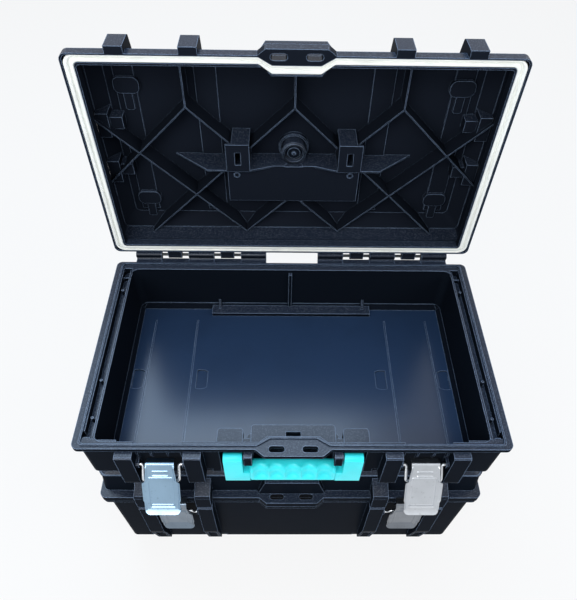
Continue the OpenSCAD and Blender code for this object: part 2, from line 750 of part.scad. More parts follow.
module lid_sockets() {
    box([-pad_x + wall_t, pad_x - wall_t], [shelf_y + wall_t, shelf_y + 62 - wall_t],
        [rib_z + wall_t, lid_h + 1]);
    for (x = [-peg_x, peg_x], y = [peg_front_y, peg_back_y])
        slab([x - peg_w / 2 - peg_gap, x + peg_w / 2 + peg_gap],
            [y - peg_d / 2 - peg_gap, y + peg_d / 2 + peg_gap],
            [lid_h - peg_h - 0.5, lid_h + 1], 4 + peg_gap);
    both_sides() for (s = [-1, 1])
        box([recess_x - 22 + wall_t, recess_x],
            [s * clip_hook_pitch / 2 - 6, s * clip_hook_pitch / 2 + 6], [lid_knee_z + 1, lid_h + 1]);
    both_sides() for (s = [-1, 1]) difference() {
        box([recess_x - 2, side + 5],
            [s * clip_hook_pitch / 2 - clip_hook_w / 2 - 3, s * clip_hook_pitch / 2 + clip_hook_w / 2 + 3],
            [lid_knee_z - 6, lid_h + 1]);
        // the ledge that a clip's hook holds
        box([recess_x - 3, recess_x + 6],
            [s * clip_hook_pitch / 2 - clip_hook_w / 2 - 4, s * clip_hook_pitch / 2 + clip_hook_w / 2 + 4],
            [catch_z - 2.5, catch_z + 2.5]);
    }
}

module lid() {
    color("#2c3034") difference() {
        union() {
            difference() {
                lid_outside();
                lid_cavity(0);
                lid_mouth();
            }
            lid_bosses();
            lid_lattice();
            lid_fittings();
            lid_pillars();
            lid_knuckles();
        }
        lid_sockets();
        lock_slots([-1, lid_lip_t + 1]);
        translate([0, 0, -1]) linear_extrude(seal_t + 1) seal_ring(0);
        hinge_bores(hinge_pin_r + run_gap);
        translate([0, shelf_y - 17, lid_h - 17]) cylinder(h = 10, r = 3);
        translate([0, shelf_y - 17, lid_h - 30]) cylinder(h = 20, r = vent_r + 0.3);
    }
}

module lid_seal() {
    color("#eeeade") difference() {
        translate([0, 0, seal_gap]) linear_extrude(seal_t - seal_gap) seal_ring(0);
        linear_extrude(tongue_h + 0.6) tongue_ring(tongue_gap);
    }
}

module vent_cap() {
    color("#33373b") translate([0, shelf_y - 17, lid_h - 26]) difference() {
        union() {
            cylinder(h = 16, r = vent_r);
            translate([0, 0, -1.5]) cylinder(h = 2, r = vent_r - 2);
        }
        translate([0, 0, -2]) cylinder(h = 6, r = vent_r - 5);
        cylinder(h = 20, r = 3);
    }
}

module vent_core() {
    color("#b9bdc1") translate([0, shelf_y - 17, lid_h - 26]) {
        cylinder(h = 19, r = 3 - run_gap);
        translate([0, 0, 1]) cylinder(h = 3, r = vent_r / 2);
        translate([0, 0, -1]) cylinder(h = 2, r = 2);
    }
}

// ---- Hinge pins, handle, latches and clips ------------------------------------

module hinge_pin(left) {
    color("#8f9499") mirrored(left)
        rod_x([hinge_x + 0.5, tub_knuckle(2)[1] - 0.5], hinge_y, hinge_up, hinge_pin_r);
}

module handle_pin(left) {
    color("#8f9499") mirrored(left)
        rod_x([lug_x + 0.5, handle_x - 5], handle_y, handle_z, handle_pin_r);
}

bar_low = handle_z - handle_drop;
bar_top = bar_low + grip_h;
core_h = 18;
core_d = 8;
hollow_rise = 35;                  // slope of the finger hollows
hollow_r = 10;
hollow_deep = 9.5;                 // their depth at the grip's front

module handle_frame() {
    color("#46c8cf") difference() {
        union() {
            both_sides() {
                along_x([handle_x - arm_w, handle_x]) {
                    translate([handle_y, handle_z]) circle(hub_r);
                    polygon([[front - pillar_out, handle_z + 3], [handle_y + 4, handle_z + 3],
                        [handle_y + 4, bar_low + 6], [handle_y + 1, bar_low],
                        [front - pillar_out, bar_low]]);
                }
                box([grip_x, handle_x - arm_w + 1], [front - pillar_out, handle_y + 4],
                    [bar_low, bar_low + core_h + 6]);
            }
            box([-grip_x - 1, grip_x + 1], [front - 4, front - 4 + core_d],
                [bar_low + 6, bar_low + 6 + core_h]);
        }
        both_sides() rod_x([handle_x - arm_w - 1, handle_x - 4], handle_y, handle_z, handle_pin_r + run_gap);
    }
}

module handle_grip() {
    pitch = 2 * (grip_x - 6) / fingers;
    color("#46c8cf") difference() {
        along_x([-grip_x, grip_x]) translate([front - pillar_out - 1, bar_low])
            rrect([0, grip_d], [0, grip_h], 5);
        box([-grip_x - 1, grip_x + 1], [front - 4, front - 4 + core_d], [bar_low + 6, bar_low + 6 + core_h]);
        // finger hollows run across the top edge, deepest in front
        for (i = [0 : fingers - 1])
            translate([(i - (fingers - 1) / 2) * pitch, front - pillar_out - 1,
                bar_top - hollow_deep + hollow_r / cos(hollow_rise)])
                rotate([-90 + hollow_rise, 0, 0]) translate([0, 0, -20]) cylinder(h = 60, r = hollow_r);
    }
}

// The latch plate as it lies on the closed case, its middle at x = 0
module plate_closed() {
    y0 = plate_y - plate_t / 2;
    y1 = plate_y + plate_t / 2;
    difference() {
        union() {
            along_y([y0, y1]) {
                rrect([-plate_w / 2, plate_w / 2], [pivot_z + 2 - ear_h, pivot_z + 2], 4);
                rrect([-foot_w / 2, foot_w / 2], [-plate_low + 4, pivot_z - 10], 1);
                rrect([-hook_w / 2, hook_w / 2], [pivot_z - 8, hook_z + plate_t], 2);
            }
            box([-hook_w / 2, hook_w / 2], [y0, front - lid_over + hook_reach], [hook_z, hook_z + plate_t]);
            rod_x([-hook_w / 2, hook_w / 2], pivot_y, pivot_z, curl_r);
            for (s = [-1, 1])
                box([s * (plate_w - 1.5) / 2 - 0.75, s * (plate_w - 1.5) / 2 + 0.75],
                    [y0, root_y - wire_r - 0.7], [pivot_z + 5 - ear_h, pivot_z - 3]);
            // pressed border and ridges
            along_y([y0 - 0.8, y0 + 0.2]) difference() {
                rrect([-16, 16], [-plate_low + 13, hook_z - 3], 3);
                rrect([-14.4, 14.4], [-plate_low + 14.6, hook_z - 4.6], 2);
            }
            for (z = [pivot_z + 10, pivot_z + 17])
                rod_x([-11, 11], y0 + 0.3, z, 1.4);
            // finger lip with round corners
            intersection() {
                along_x([-foot_w / 2 - 1, foot_w / 2 + 1]) polygon([
                    [y1, -plate_low + 9], [y0, -plate_low + 11], [y0 - 1.2, -plate_low + 4],
                    [y0 - 3.5, -plate_low - 2.5], [y0 - 3.5 + plate_t, -plate_low - 3.2],
                    [y1 - 0.6, -plate_low + 3]
                ]);
                along_y([y0 - 5, y1 + 1])
                    rrect([-foot_w / 2, foot_w / 2], [-plate_low - 3.2, -plate_low + 20], 7);
            }
        }
        rod_x([-plate_w, plate_w], pivot_y, pivot_z, wire_r + run_gap);
    }
}

// The wire bail between the plate and the pillars, as it lies on the closed case.
// It is drawn flat, its long bar along Y = 0 and its ends at Y = reach, and then tilted.
module bail_closed() {
    v = [root_y - pivot_y, root_z - pivot_z];
    reach = norm(v);
    translate([0, pivot_y, pivot_z]) rotate([atan2(v[1], v[0]), 0, 0]) {
        rod_x([-arm_x + bend_r, arm_x - bend_r], 0, 0, wire_r);
        both_sides() {
            translate([arm_x - bend_r, bend_r, 0]) rotate([0, 0, -90])
                rotate_extrude(angle = 90) translate([bend_r, 0]) circle(wire_r);
            rod_y(arm_x, [bend_r, reach - bend_r], 0, wire_r);
            translate([arm_x + bend_r, reach - bend_r, 0]) rotate([0, 0, 90])
                rotate_extrude(angle = 90) translate([bend_r, 0]) circle(wire_r);
            rod_x([arm_x + bend_r, wire_end], reach, 0, wire_r);
        }
    }
}

module latch_plate(left, swing) {
    p = latch_pivot(swing);
    color("#c9cdd0") mirrored(left) translate([latch_x, p[0], p[1]])
        rotate([-latch_tilt * swing / latch_swing, 0, 0]) translate([0, -pivot_y, -pivot_z]) plate_closed();
}

module latch_bail(left, swing) {
    color("#b4b8bb") mirrored(left) translate([latch_x, root_y, root_z]) rotate([swing, 0, 0])
        translate([0, -root_y, -root_z]) bail_closed();
}

// A stacking clip of the right side, hooked, its axis at height 0
module clip_hooked() {
    difference() {
        union() {
            rod_y(clip_x, [-clip_w / 2, clip_w / 2], 0, clip_barrel_r);
            box([clip_x, clip_x + clip_t], [-clip_w / 2, clip_w / 2], [-clip_z + 2, 0]);
            for (s = [-1, 1]) {
                y = [s * clip_hook_pitch / 2 - clip_hook_w / 2, s * clip_hook_pitch / 2 + clip_hook_w / 2];
                box([clip_x, clip_x + clip_t], y, [-clip_reach, -clip_z + 3]);
                along_y(y) polygon([
                    [clip_x + 1, -clip_reach], [clip_x - 3.5, -clip_reach + 3],
                    [clip_x - 6.5, -clip_reach + 5], [clip_x - 6.5, -clip_z - lid_h + catch_z - 3.5],
                    [clip_x + 1, -clip_z - lid_h + catch_z - 3.5]
                ]);
            }
            // thumb ridge
            rod_y(clip_x + clip_t, [-30, 30], -clip_z + 6, 1.5);
        }
        rod_y(clip_x, [-clip_w, clip_w], 0, clip_pin_r + run_gap);
    }
}

// swing opens the clip outwards from hooked
module clip(left, h, swing) {
    color("#3a3f44") mirrored(left) translate([clip_x, 0, -(h - peg_h) + clip_z])
        rotate([0, -swing, 0]) translate([-clip_x, 0, 0]) clip_hooked();
}

module clip_pin(left, h) {
    color("#8f9499") mirrored(left)
        rod_y(clip_x, [-clip_y - 5, clip_y + 5], -(h - peg_h) + clip_z, clip_pin_r);
}

// ---- The two cases ---------------------------------------------------------------

module lower() {
    translate([0, 0, rim_z]) children();
}

module upper() {
    translate([0, 0, upper_rim_z]) children();
}

module open_lid() {
    upper() translate([0, hinge_y, hinge_up]) rotate([-open_angle, 0, 0])
        translate([0, -hinge_y, -hinge_up]) children();
}

lower() tub(lower_tub_h, false);  // lower_tub
lower() lid();  // lower_lid
lower() lid_seal();  // lower_lid_seal
lower() vent_cap();  // lower_vent_cap
lower() vent_core();  // lower_vent_core
lower() hinge_pin(true);  // lower_hinge_pin_left
lower() hinge_pin(false);  // lower_hinge_pin_right
lower() latch_plate(true, latch_free);  // lower_latch_left_plate
lower() latch_bail(true, latch_free);  // lower_latch_left_bail
lower() latch_plate(false, latch_free);  // lower_latch_right_plate
lower() latch_bail(false, latch_free);  // lower_latch_right_bail
lower() clip(true, lower_tub_h, 180);  // lower_clip_left
lower() clip(false, lower_tub_h, 180);  // lower_clip_right
lower() clip_pin(true, lower_tub_h);  // lower_clip_pin_left
lower() clip_pin(false, lower_tub_h);  // lower_clip_pin_right
upper() tub(upper_tub_h, true);  // upper_tub
open_lid() lid();  // upper_lid
open_lid() lid_seal();  // upper_lid_seal
open_lid() vent_cap();  // upper_vent_cap
open_lid() vent_core();  // upper_vent_core
upper() hinge_pin(true);  // upper_hinge_pin_left
upper() hinge_pin(false);  // upper_hinge_pin_right
upper() latch_plate(true, latch_swing);  // upper_latch_left_plate
upper() latch_bail(true, latch_swing);  // upper_latch_left_bail
upper() latch_plate(false, latch_swing);  // upper_latch_right_plate
upper() latch_bail(false, latch_swing);  // upper_latch_right_bail
upper() handle_frame();  // upper_handle_frame
upper() handle_grip();  // upper_handle_grip
upper() handle_pin(true);  // upper_handle_pin_left
upper() handle_pin(false);  // upper_handle_pin_right
upper() clip(true, upper_tub_h, clip_up);  // upper_clip_left
upper() clip(false, upper_tub_h, clip_up);  // upper_clip_right
upper() clip_pin(true, upper_tub_h);  // upper_clip_pin_left
upper() clip_pin(false, upper_tub_h);  // upper_clip_pin_right
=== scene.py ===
# Two stacked hard tool cases: the shallow one stands open on the deep one.
import json
from math import cos, exp, hypot, radians, sin

import bmesh
import bpy
from mathutils import Matrix, Vector


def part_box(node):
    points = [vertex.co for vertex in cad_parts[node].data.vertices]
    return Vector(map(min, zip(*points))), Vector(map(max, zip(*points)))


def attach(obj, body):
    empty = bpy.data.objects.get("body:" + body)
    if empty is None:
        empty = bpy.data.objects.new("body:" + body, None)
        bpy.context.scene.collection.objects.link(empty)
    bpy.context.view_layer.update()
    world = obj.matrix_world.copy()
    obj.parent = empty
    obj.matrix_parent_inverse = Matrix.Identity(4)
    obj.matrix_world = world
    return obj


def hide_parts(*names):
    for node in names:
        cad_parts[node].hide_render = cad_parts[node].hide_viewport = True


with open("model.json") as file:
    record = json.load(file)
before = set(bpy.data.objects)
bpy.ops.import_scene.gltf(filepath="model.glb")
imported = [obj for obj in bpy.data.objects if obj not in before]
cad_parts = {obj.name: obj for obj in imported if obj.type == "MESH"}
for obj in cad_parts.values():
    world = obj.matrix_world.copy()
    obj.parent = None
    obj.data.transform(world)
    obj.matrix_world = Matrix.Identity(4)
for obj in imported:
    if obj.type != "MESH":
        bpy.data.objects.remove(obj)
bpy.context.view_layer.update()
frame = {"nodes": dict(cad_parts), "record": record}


# ---- Camera ----------------------------------------------------------------------
# The view is from above the front, a little to the left of the middle, with the
# camera held by hand and so turned slightly about all three axes.
IMAGE_WIDTH = 577
IMAGE_HEIGHT = 600
FOCAL_PIXELS = 575.37
CENTRE_PIXEL = (290.97, 298.67)
CAMERA_PLACE = Vector((-0.01579, -0.46938, 1.03353))
LOOK_DOWN = radians(50.218)
LOOK_RIGHT = radians(1.4277)
LEAN = radians(1.4725)


def link_object(name, data):
    thing = bpy.data.objects.new(name, data)
    bpy.context.scene.collection.objects.link(thing)
    return thing


camera_data = bpy.data.cameras.new("camera")
camera_data.sensor_fit = "VERTICAL"
camera_data.sensor_height = 24
camera_data.lens = FOCAL_PIXELS * camera_data.sensor_height / IMAGE_HEIGHT
camera_data.shift_x = (IMAGE_WIDTH / 2 - CENTRE_PIXEL[0]) / IMAGE_HEIGHT
camera_data.shift_y = (CENTRE_PIXEL[1] - IMAGE_HEIGHT / 2) / IMAGE_HEIGHT
camera_data.clip_start = 0.01
camera = link_object("camera", camera_data)
camera.matrix_world = (
    Matrix.Translation(CAMERA_PLACE)
    @ Matrix.Rotation(-LOOK_RIGHT, 4, "Z")
    @ Matrix.Rotation(radians(90) - LOOK_DOWN, 4, "X")
    @ Matrix.Rotation(LEAN, 4, "Z")
)
bpy.context.scene.camera = camera
bpy.context.scene.view_settings.view_transform = "Standard"


# ---- Shells -------------------------------------------------------------------------
# Tubs and lids are injection moulded in near-black polypropylene. The tray's floor is
# polished, and the sky's reflection in it is painted into its colour; other faces that look
# up carry a spark-eroded grain with painted glints and a painted bluish sheen, the walls
# are drawn smooth, and open edges that face up or to the front carry painted highlights.
SHELL_BLACK = (0.0046, 0.0068, 0.0112)
# Painted light: the lid is the same plastic as the tubs, its black painted lighter.
LID_BLACK_PAINTED_LIGHTER = (0.0085, 0.0112, 0.0175)
# Painted sheen: faces that look up are tinted lighter and bluer, for the light above that they mirror.
PAINTED_TOP_SHEEN = (0.016, 0.023, 0.040)
# Painted reflection: the tray's floor is tinted blue for the sky that it mirrors.
PAINTED_FLOOR_SKY = (0.017, 0.036, 0.080)
# Painted highlight along open edges.
PAINTED_EDGE_HIGHLIGHT = (0.28, 0.38, 0.55)
# Painted glints in the grain of faces that look up.
PAINTED_GLINT = (0.40, 0.46, 0.56)
DUST = (0.35, 0.38, 0.42)
SHELL_EDGE_RADIUS = 0.0013
TRAY_FLOOR_LEVEL = 0.276
NO_FLOOR = -1.0


class Socket:
    """A node's output, with the arithmetic that the finishes use."""

    def __init__(self, tree, output):
        self.tree = tree
        self.output = output

    def math(self, operation, *values):
        node = self.tree.nodes.new("ShaderNodeMath")
        node.operation = operation
        for place, value in enumerate(values):
            feed(self.tree, node.inputs[place], value)
        return Socket(self.tree, node.outputs[0])

    def __add__(self, other):
        return self.math("ADD", self, other)

    def __radd__(self, other):
        return self.math("ADD", other, self)

    def __sub__(self, other):
        return self.math("SUBTRACT", self, other)

    def __rsub__(self, other):
        return self.math("SUBTRACT", other, self)

    def __mul__(self, other):
        return self.math("MULTIPLY", self, other)

    def __rmul__(self, other):
        return self.math("MULTIPLY", other, self)

    def absolute(self):
        return self.math("ABSOLUTE", self)

    def larger(self, other):
        return self.math("MAXIMUM", self, other)

    def smooth(self, low, high):
        """0 below low, 1 above high, and smooth between them."""
        return add_node(
            self.tree, "ShaderNodeMapRange", {"interpolation_type": "SMOOTHSTEP"},
            Value=self, From_Min=low, From_Max=high,
        )


def feed(tree, socket, value):
    if isinstance(value, Socket):
        tree.links.new(value.output, socket)
    elif socket.type == "RGBA" and len(value) == 3:
        socket.default_value = (*value, 1)
    else:
        socket.default_value = value


def add_node(tree, kind, settings=None, out=0, **inputs):
    """A node of any kind: its settings first, then what its sockets are given."""
    node = tree.nodes.new(kind)
    for name, value in (settings or {}).items():
        setattr(node, name, value)
    for name, value in inputs.items():
        feed(tree, node.inputs[name.replace("_", " ")], value)
    return Socket(tree, node.outputs[out])


def new_finish(name):
    """A material with its tree, its Principled shader and the place on the object."""
    material = bpy.data.materials.new(name)
    material.use_nodes = True
    tree = material.node_tree
    shader = tree.nodes["Principled BSDF"]
    place = add_node(tree, "ShaderNodeTexCoord", out="Object")
    return material, tree, shader, place


def set_shader(tree, shader, **inputs):
    for name, value in inputs.items():
        feed(tree, shader.inputs[name.replace("_", " ")], value)


def mix_colours(tree, share, first, second):
    node = tree.nodes.new("ShaderNodeMix")
    node.data_type = "RGBA"
    factor, colour_a, colour_b = (node.inputs[place] for place in (0, 6, 7))
    feed(tree, factor, share)
    feed(tree, colour_a, first)
    feed(tree, colour_b, second)
    return Socket(tree, node.outputs[2])


def part_of(tree, vector, axis):
    return add_node(tree, "ShaderNodeSeparateXYZ", Vector=vector, out=axis)


def noise(tree, place, scale, detail=2.0, roughness=0.5):
    return add_node(
        tree, "ShaderNodeTexNoise", Vector=place, Scale=scale, Detail=detail, Roughness=roughness
    )


def give_finish(material, *nodes):
    """Gives a material to CAD nodes, every face of them."""
    for name in nodes:
        part = frame["nodes"][name]
        part.data.materials.clear()
        part.data.materials.append(material)


def shell_finish(
    name, coat=0.0, roughness=0.32, floor_level=NO_FLOOR, level_from=0.25, black=SHELL_BLACK
):
    """Moulded black, with a painted sheen on what faces up past level_from and a painted sky reflection on
    a tray's floor.
    """
    material, tree, shader, place = new_finish(name)
    facing = add_node(tree, "ShaderNodeTexCoord", out="Normal")
    flat_normal = add_node(tree, "ShaderNodeNewGeometry", out="Normal")
    up = part_of(tree, facing, "Z").smooth(level_from, 0.95)
    front = (0 - part_of(tree, facing, "Y")).smooth(0.3, 0.9)
    height = part_of(tree, place, "Z")
    above = height - floor_level
    # The tray's floor: its coat is raised, and its colour takes the painted sky reflection.
    polished_with_painted_sky = up * (1 - above.absolute().smooth(0.004, 0.007))

    rounded = add_node(tree, "ShaderNodeBevel", {"samples": 4}, Radius=SHELL_EDGE_RADIUS)
    straight = add_node(
        tree, "ShaderNodeVectorMath", {"operation": "DOT_PRODUCT"}, out="Value", Vector=rounded
    )
    tree.links.new(flat_normal.output, straight.output.node.inputs[1])
    hidden = add_node(tree, "ShaderNodeAmbientOcclusion", {"samples": 4}, out="AO", Distance=0.004)
    edge = (1 - straight.smooth(0.86, 0.998)) * hidden.smooth(0.55, 0.9)
    # Painted highlight: the edge mask is made brighter where the edge faces up or to the front.
    painted_edge_highlight = edge * (0.12 + 0.88 * up.larger(0.75 * front))

    grain = noise(tree, place, 1300, 3)
    cloud = noise(tree, place, 9, 4, 0.6)
    # Painted glints: light speckles on faces that look up, not on the tray's floor.
    glints = noise(tree, place, 620, 1).smooth(0.50, 0.66) * (1 - polished_with_painted_sky)
    dust = noise(tree, place, 420, 1).smooth(0.70, 0.78) * noise(tree, place, 22, 3).smooth(0.45, 0.75)
    top = mix_colours(tree, polished_with_painted_sky, PAINTED_TOP_SHEEN, PAINTED_FLOOR_SKY)
    # Painted sheen: faces that look up are mixed towards the lighter top colour.
    base = mix_colours(tree, up * (0.7 + 0.6 * cloud), black, top)
    base = mix_colours(tree, 0.09 * glints * up, base, PAINTED_GLINT)
    base = mix_colours(tree, 0.12 * dust * up, base, DUST)
    base = mix_colours(tree, painted_edge_highlight * (0.6 + 0.8 * noise(tree, place, 60, 3)), base, PAINTED_EDGE_HIGHLIGHT)
    bumped = add_node(
        tree, "ShaderNodeBump", Strength=0.22, Distance=0.00008, Height=grain, Normal=rounded
    )
    set_shader(
        tree, shader,
        Base_Color=base,
        Roughness=roughness + 0.12 * cloud,
        IOR=1.03,
        Coat_Weight=coat + up * (0.55 - coat) + 0.45 * polished_with_painted_sky,
        Coat_Roughness=0.22,
        Coat_IOR=1.5,
        Normal=bumped,
    )
    return material


give_finish(shell_finish("moulded_tray", floor_level=TRAY_FLOOR_LEVEL), "upper_tub")
give_finish(shell_finish("moulded_shell"), "lower_tub", "lower_lid")
# The lid takes the lighter black, as painted light, and its sheen only on faces that look well up.
give_finish(shell_finish("moulded_lid", level_from=0.72, black=LID_BLACK_PAINTED_LIGHTER), "upper_lid")


# ---- Seals --------------------------------------------------------------------------
# A ring of ivory closed-cell foam glued in the lid's channel. Its edges are round, a
# groove in its face takes the rim's tongue, and it turns in round the padlock slots.
SEAL_IVORY = (0.88, 0.88, 0.83)
SEAL_SHADE = (0.80, 0.80, 0.75)
SEAL_FACE = 0.0003
SEAL_BASE = 0.0060
SEAL_ROUND = 0.0016
GROOVE_HALF = 0.0018
GROOVE_DEEP = 0.0034
HINGE_UP = 0.0055              # the lid's hinge above its rim
UPPER_LID_OPEN = radians(91)
GROOVE_EDGE = 0.0006           # depth of the groove's rounded edge
GROOVE_PROFILE = (
    (-1.35, 0), (-1.0, GROOVE_EDGE), (-0.8, GROOVE_DEEP), (0.8, GROOVE_DEEP), (1.0, GROOVE_EDGE), (1.35, 0)
)
CORNER_STEPS = 12
ROUND_STEPS = 4

# Each line round the ring: half its width, front, back, corner radius, and how far its
# front turns in between the places of FRONT_TURN, which come with the share turned in.
OUTER_LINE = (0.2728, -0.1568, 0.1568, 0.0125, 0.0100)
TONGUE_LINE = (0.26525, -0.15275, 0.15325, 0.0050, 0.0100)
INNER_LINE = (0.2607, -0.1482, 0.1472, 0.0060, 0.0120)
FRONT_TURN = ((0.0290, 1), (0.0312, 0.88), (0.0432, 0.12), (0.0454, 0))

BODY_OF = {
    node: body
    for body, members in frame["record"]["behaviour"]["bodies"].items()
    for node in members
}
HINGES = {row["name"]: row for row in frame["record"]["behaviour"]["joints"]}


def apply_modifiers(piece):
    """The piece's modifiers end as its plain mesh."""
    bpy.context.view_layer.update()
    evaluated = piece.evaluated_get(bpy.context.evaluated_depsgraph_get())
    finished = bpy.data.meshes.new_from_object(evaluated)
    piece.modifiers.clear()
    piece.data = finished


def stand_for(node, piece, material, smooth_angle):
    """Finishes a piece that is shown in a CAD node's place and moves with its body."""
    mesh = piece.data
    mesh.materials.clear()
    mesh.materials.append(material)
    mesh.polygons.foreach_set("use_smooth", [True] * len(mesh.polygons))
    mesh.set_sharp_from_angle(angle=radians(smooth_angle))
    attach(piece, BODY_OF[node])
    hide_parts(node)


def new_piece(name, shape, material, node, smooth_angle):
    """Makes a bmesh an object that stands for a CAD node."""
    bmesh.ops.remove_doubles(shape, verts=shape.verts, dist=0.000005)
    bmesh.ops.recalc_face_normals(shape, faces=shape.faces)
    mesh = bpy.data.meshes.new(name)
    shape.to_mesh(mesh)
    shape.free()
    stand_for(node, link_object(name, mesh), material, smooth_angle)


def skin_rings(shape, rings, closed=False):
    """Faces between rings of points, with a face on each end unless they come round."""
    loops = [[shape.verts.new(point) for point in ring] for ring in rings]
    for first, second in zip(loops, loops[1:] + loops[:1] if closed else loops[1:]):
        for i in range(len(first)):
            j = (i + 1) % len(first)
            shape.faces.new((first[i], first[j], second[j], second[i]))
    if not closed:
        shape.faces.new(loops[0])
        shape.faces.new(loops[-1])


def rim_outline(half_width, front, back, corner, turn_in):
    """A rounded rectangle seen from above, turned in at the middle of its front."""
    points = []
    for x, y, start in (
        (half_width, front, 270),
        (half_width, back, 0),
        (-half_width, back, 90),
        (-half_width, front, 180),
    ):
        centre_x = x - corner if x > 0 else x + corner
        centre_y = y + corner if y < 0 else y - corner
        for step in range(CORNER_STEPS + 1):
            turn = radians(start + 90 * step / CORNER_STEPS)
            points.append(Vector((centre_x + corner * cos(turn), centre_y + corner * sin(turn))))
    points += [Vector((-x, front + share * turn_in)) for x, share in reversed(FRONT_TURN)]
    points += [Vector((x, front + share * turn_in)) for x, share in FRONT_TURN]
    return points


def seal_shape():
    """The ring as it lies in a closed lid, heights counted from the lid's rim."""
    rounding = [radians(90 * step / ROUND_STEPS) for step in range(ROUND_STEPS + 1)]
    edge = [(SEAL_ROUND * (1 - cos(turn)), SEAL_FACE + SEAL_ROUND * (1 - sin(turn))) for turn in rounding]
    lines = (rim_outline(*line) for line in (OUTER_LINE, TONGUE_LINE, INNER_LINE))
    rings = []
    for out, middle, inside in zip(*lines):
        across = (out - inside).normalized()
        reach = (out - inside).length
        groove = (middle - inside).dot(across)
        profile = [(0, SEAL_BASE)] + edge
        profile += [(groove + step * GROOVE_HALF, SEAL_FACE + deep) for step, deep in GROOVE_PROFILE]
        profile += [(reach - place, height) for place, height in reversed(edge)]
        profile.append((reach, SEAL_BASE))
        rings.append([(*(inside + across * place), height) for place, height in profile])
    shape = bmesh.new()
    skin_rings(shape, rings, closed=True)
    return shape


def foam_finish():
    material, tree, shader, place = new_finish("seal_foam")
    cells = noise(tree, place, 900, 3)
    set_shader(
        tree, shader,
        Base_Color=mix_colours(
            tree, noise(tree, place, 30, 3).smooth(0.4, 0.75), SEAL_IVORY, SEAL_SHADE
        ),
        Roughness=0.8 + 0.1 * cells,
        Normal=add_node(tree, "ShaderNodeBump", Strength=0.15, Distance=0.00015, Height=cells),
    )
    return material


foam = foam_finish()
for case, opened in (("lower", 0), ("upper", UPPER_LID_OPEN)):
    hinge = Vector(HINGES[case + "_lid_hinge"]["pos_m"])
    shape = seal_shape()
    shape.transform(
        Matrix.Translation(hinge)
        @ Matrix.Rotation(-opened, 4, "X")
        @ Matrix.Translation((0, -hinge.y, -HINGE_UP))
    )
    new_piece(case + "_seal_ring", shape, foam, case + "_lid_seal", 50)


# ---- Valves -------------------------------------------------------------------------
# A round black cap screwed on a threaded core that goes through the lid's seat.
SMALL_EDGE = 0.0008


def rounded_piece(node, material, radius, corner=35):
    """Stands for a CAD node with the same shape, its edges rounded over."""
    mesh = frame["nodes"][node].data.copy()
    shape = bmesh.new()
    shape.from_mesh(mesh)
    bmesh.ops.remove_doubles(shape, verts=shape.verts, dist=0.00001)
    bmesh.ops.dissolve_limit(
        shape, angle_limit=radians(0.6), verts=shape.verts, edges=shape.edges
    )
    shape.to_mesh(mesh)
    shape.free()
    piece = link_object(node + "_skin", mesh)
    edge = piece.modifiers.new("edge", "BEVEL")
    edge.width = radius
    edge.segments = 3
    edge.limit_method = "ANGLE"
    edge.angle_limit = radians(corner)
    edge.miter_outer = "MITER_ARC"
    apply_modifiers(piece)
    stand_for(node, piece, material, corner)


vent = shell_finish("vent_cap", coat=0.4, roughness=0.25)
for case in ("lower", "upper"):
    rounded_piece(case + "_vent_cap", vent, SMALL_EDGE, corner=50)
give_finish(vent, "lower_vent_core", "upper_vent_core")


# ---- Handle -------------------------------------------------------------------------
# Turquoise moulding with a satin skin; the grip is a second shot of the same colour.
TURQUOISE = (0.030, 0.76, 0.80)
TURQUOISE_DEEP = (0.020, 0.68, 0.72)
FRAME_EDGE = 0.0016


def handle_finish():
    material, tree, shader, place = new_finish("handle_moulding")
    skin = noise(tree, place, 1500, 2)
    set_shader(
        tree, shader,
        Base_Color=mix_colours(
            tree, noise(tree, place, 25, 3).smooth(0.35, 0.75), TURQUOISE, TURQUOISE_DEEP
        ),
        Roughness=0.34 + 0.1 * noise(tree, place, 60, 3),
        Normal=add_node(tree, "ShaderNodeBump", Strength=0.2, Distance=0.0001, Height=skin),
    )
    return material


handle = handle_finish()
rounded_piece("upper_handle_frame", handle, FRAME_EDGE)


def ease(value, low, high):
    """0 below low, 1 above high, and smooth between them."""
    share = min(max((value - low) / (high - low), 0), 1)
    return share * share * (3 - 2 * share)


# The grip is drawn as rings across its length. Five hollows for the fingers meet in
# ridges on its front, and fade out above the lower edge.
GRIP_FINGERS = 5
FINGER_PITCH = 0.0205
FINGER_DEPTH = 0.0056
HOLLOW_DROP = 0.35             # how far a hollow also lowers the skin, as a share of its depth
GRIP_CORNER = 0.006
GRIP_END_ROUND = 0.0016
GRIP_STEPS = 150
grip_low, grip_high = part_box("upper_handle_grip")


def grip_ring(x):
    """A rounded rectangle in Y and Z, its front pushed in by the finger hollows."""
    end = min(x - grip_low.x, grip_high.x - x)
    inset = GRIP_END_ROUND * (1 - ease(end, 0, 0.002)) ** 2
    along = x / FINGER_PITCH + GRIP_FINGERS / 2
    inside = 0 < along < GRIP_FINGERS
    hollow = FINGER_DEPTH * (1 - (2 * (along % 1) - 1) ** 2) if inside else 0
    low = Vector((grip_low.y + inset, grip_low.z + inset))
    high = Vector((grip_high.y - inset, grip_high.z - inset))
    points = []
    for corner_y, corner_z, start in (
        (low.x, high.y, 90), (low.x, low.y, 180), (high.x, low.y, 270), (high.x, high.y, 0)
    ):
        y = corner_y + GRIP_CORNER * (1 if corner_y == low.x else -1)
        z = corner_z + GRIP_CORNER * (1 if corner_z == low.y else -1)
        for step in range(9):
            turn = radians(start + step * 11.25)
            points.append(Vector((y + GRIP_CORNER * cos(turn), z + GRIP_CORNER * sin(turn))))
    filled = []
    for first, second in zip(points, points[1:] + points[:1]):
        steps = 12 if (second - first).length > 0.004 else 1
        filled += [first.lerp(second, i / steps) for i in range(steps)]
    ring = []
    for point in filled:
        front = 1 - ease(point.x, low.x, low.x + 0.013)
        tall = ease(point.y, low.y + 0.006, low.y + 0.015)
        push = hollow * front * tall
        ring.append((x, point.x + push, point.y - HOLLOW_DROP * push))
    return ring


